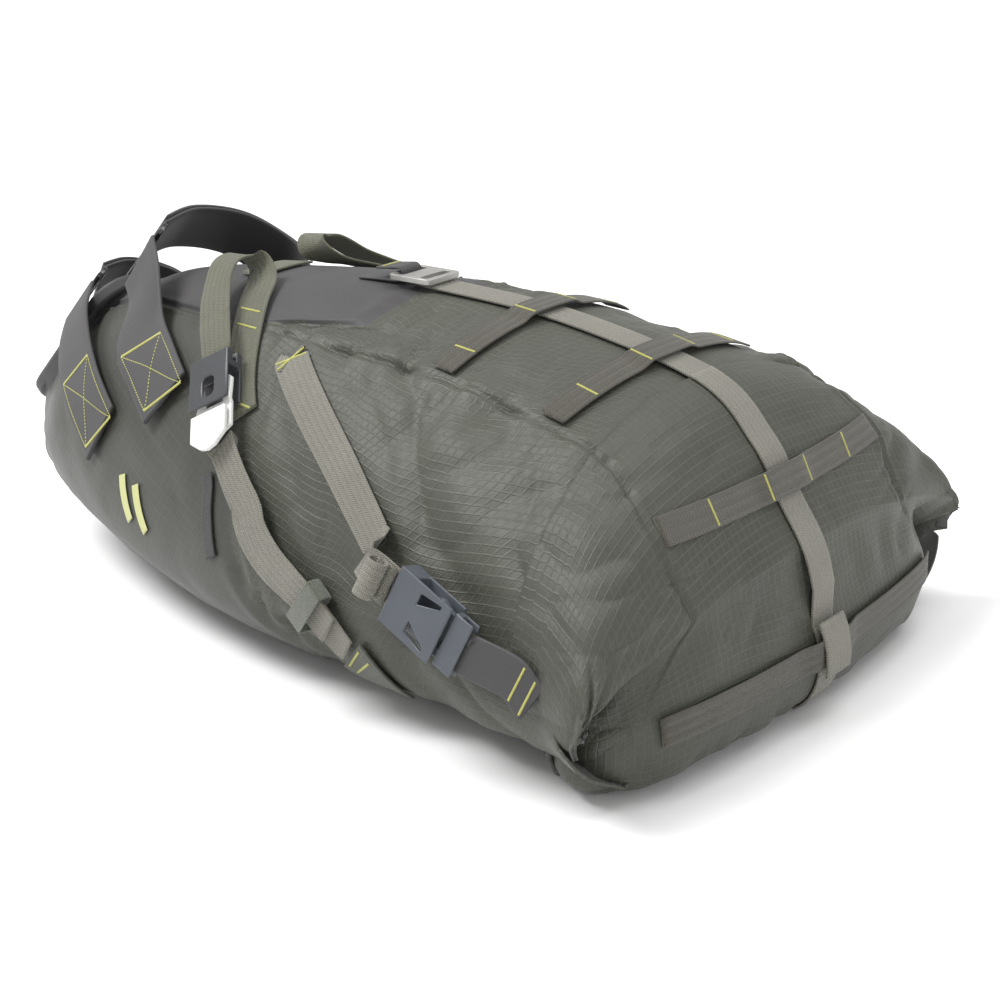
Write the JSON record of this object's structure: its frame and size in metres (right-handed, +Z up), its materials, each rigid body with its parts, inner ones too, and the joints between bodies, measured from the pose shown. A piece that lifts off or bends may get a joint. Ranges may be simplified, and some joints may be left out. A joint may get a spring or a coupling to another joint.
{
  "type": "bicycle saddle bag",
  "caption": "Roll-closure bicycle saddle bag with seatpost straps, saddle rail straps, side compression straps with release buckles and lash bands over the top.",
  "frame": {"origin": "under the middle of the bag, at the centre of its bounding box in plan, on the surface it rests on", "axes": "+X from the nose to the rolled rear end, -Y the left side of the bag, +Z up"},
  "size_m": [0.5823, 0.3474, 0.2044],
  "materials": {
    "ripstop": "olive grey ripstop nylon, matt with a slight sheen",
    "nose_cloth": "smooth laminated olive grey nylon",
    "hypalon": "dark grey coated fabric",
    "webbing": "light grey olive woven webbing",
    "lash_webbing": "dark brown olive woven webbing",
    "buckle_grey": "blue grey acetal",
    "buckle_dark": "dark grey acetal",
    "buckle_white": "white acetal",
    "lock_metal": "light metal",
    "ring_black": "dark gloss",
    "hook_loop": "hook and loop pile",
    "label_cloth": "woven label",
    "stiffener": "plastic sheet"
  },
  "bodies": {
    "root": {"bottom_panel": "ripstop", "centre_strap_front": "webbing", "compression_strap_left": "webbing", "compression_strap_right": "webbing", "lash_band_1": "lash_webbing", "lash_band_2": "lash_webbing", "left_side_panel": "ripstop", "lock_anchor": "hypalon", "nose_left_panel": "nose_cloth", "nose_right_panel": "nose_cloth", "nose_stiffener": "stiffener", "nose_top_panel": "hypalon", "rail_female_left": "buckle_dark", "rail_female_right": "buckle_dark", "rail_strap_left": "webbing", "rail_strap_right": "webbing", "rail_webbing_left": "webbing", "rail_webbing_right": "webbing", "right_side_panel": "ripstop", "saddle_cross_strap": "webbing", "seatpost_pad": "hypalon", "seatpost_ring_lower": "ring_black", "seatpost_ring_upper": "ring_black", "seatpost_strap_lower_left": "hypalon", "seatpost_strap_lower_right": "hypalon", "seatpost_strap_upper_left": "hypalon", "seatpost_strap_upper_right": "hypalon", "side_label": "label_cloth", "top_panel": "ripstop", "wing_tab_left": "nose_cloth", "wing_tab_right": "nose_cloth"},
    "flap": {"rear_flap": "ripstop", "closure_roll": "ripstop", "roll_stiffener": "stiffener", "lash_band_3": "lash_webbing", "lash_band_4": "lash_webbing", "centre_strap_rear": "webbing", "centre_tail_keeper": "webbing", "compression_tab_left": "hypalon", "male_buckle_left": "buckle_grey", "compression_tab_right": "hypalon", "male_buckle_right": "buckle_grey"},
    "compression_clip_left": {"female_buckle_left": "buckle_grey", "strap_tail_roll_left": "webbing"},
    "prong_upper_left": {"prong_upper_left": "buckle_grey"},
    "prong_lower_left": {"prong_lower_left": "buckle_grey"},
    "rail_clip_left": {"rail_male_left": "buckle_white"},
    "cam_left": {"cam_lever_left": "buckle_white"},
    "keeper_left": {"webbing_keeper_left": "hook_loop"},
    "compression_clip_right": {"female_buckle_right": "buckle_grey", "strap_tail_roll_right": "webbing"},
    "prong_upper_right": {"prong_upper_right": "buckle_grey"},
    "prong_lower_right": {"prong_lower_right": "buckle_grey"},
    "rail_clip_right": {"rail_male_right": "buckle_white"},
    "cam_right": {"cam_lever_right": "buckle_white"},
    "keeper_right": {"webbing_keeper_right": "hook_loop"},
    "lock": {"ladder_lock": "lock_metal"},
    "seat_tail_lower": {"seatpost_tail_lower": "hook_loop"},
    "seat_tail_upper": {"seatpost_tail_upper": "hook_loop"}
  },
  "joints": [
    {"name": "closure_fold", "type": "hinge", "parent": "root", "child": "flap", "pos_m": [0.2115, 0, 0.159], "axis": [0, -1, 0], "range_deg": [0, 90]},
    {"name": "compression_slide_left", "type": "slide", "parent": "root", "child": "compression_clip_left", "axis": [-0.9254, 0.1401, 0.3522], "range_m": [0, 0.018]},
    {"name": "prong_upper_left_squeeze", "type": "hinge", "parent": "flap", "child": "prong_upper_left", "pos_m": [0.1793, -0.15763, 0.07811], "axis": [-0.0498, -0.9661, 0.2535], "range_deg": [0, 8], "stiffness_Nm_per_rad": 0.04},
    {"name": "prong_lower_left_squeeze", "type": "hinge", "parent": "flap", "child": "prong_lower_left", "pos_m": [0.17253, -0.16154, 0.0619], "axis": [0.0498, 0.9661, -0.2535], "range_deg": [0, 20]},
    {"name": "rail_clip_slide_left", "type": "slide", "parent": "root", "child": "rail_clip_left", "axis": [0.4724, -0.6603, -0.5839], "range_m": [0, 0.022]},
    {"name": "cam_lever_lift_left", "type": "hinge", "parent": "rail_clip_left", "child": "cam_left", "pos_m": [-0.01716, -0.11657, 0.13319], "axis": [-0.8638, -0.2152, -0.4555], "range_deg": [0, 70]},
    {"name": "keeper_slide_left", "type": "slide", "parent": "root", "child": "keeper_left", "axis": [0.8088, -0.129, -0.5738], "range_m": [-0.004, 0.005]},
    {"name": "compression_slide_right", "type": "slide", "parent": "root", "child": "compression_clip_right", "axis": [-0.9254, -0.1401, 0.3522], "range_m": [0, 0.018]},
    {"name": "prong_upper_right_squeeze", "type": "hinge", "parent": "flap", "child": "prong_upper_right", "pos_m": [0.1793, 0.15763, 0.07811], "axis": [0.0498, -0.9661, -0.2535], "range_deg": [0, 8], "stiffness_Nm_per_rad": 0.04},
    {"name": "prong_lower_right_squeeze", "type": "hinge", "parent": "flap", "child": "prong_lower_right", "pos_m": [0.17253, 0.16154, 0.0619], "axis": [-0.0498, 0.9661, 0.2535], "range_deg": [0, 20]},
    {"name": "rail_clip_slide_right", "type": "slide", "parent": "root", "child": "rail_clip_right", "axis": [0.4724, 0.6603, -0.5839], "range_m": [0, 0.022]},
    {"name": "cam_lever_lift_right", "type": "hinge", "parent": "rail_clip_right", "child": "cam_right", "pos_m": [-0.01716, 0.11657, 0.13319], "axis": [0.8638, -0.2152, 0.4555], "range_deg": [0, 70]},
    {"name": "keeper_slide_right", "type": "slide", "parent": "root", "child": "keeper_right", "axis": [0.8088, 0.129, -0.5738], "range_m": [-0.004, 0.005]},
    {"name": "ladder_lock_tilt", "type": "hinge", "parent": "root", "child": "lock", "pos_m": [0.01977, 0, 0.18838], "axis": [0, -1, 0], "range_deg": [0, 35]},
    {"name": "seat_tail_peel_lower", "type": "hinge", "parent": "root", "child": "seat_tail_lower", "pos_m": [-0.24544, 0.00942, 0.15042], "axis": [0.722, 0, 0.6919], "range_deg": [0, 22]},
    {"name": "seat_tail_peel_upper", "type": "hinge", "parent": "root", "child": "seat_tail_upper", "pos_m": [-0.1729, -0.00436, 0.18985], "axis": [0.722, 0, 0.6919], "range_deg": [0, 30]}
  ],
  "couplings": [
    {"joint": "prong_lower_left_squeeze", "follows": "prong_upper_left_squeeze", "ratio": 1},
    {"joint": "prong_lower_right_squeeze", "follows": "prong_upper_right_squeeze", "ratio": 1}
  ]
}
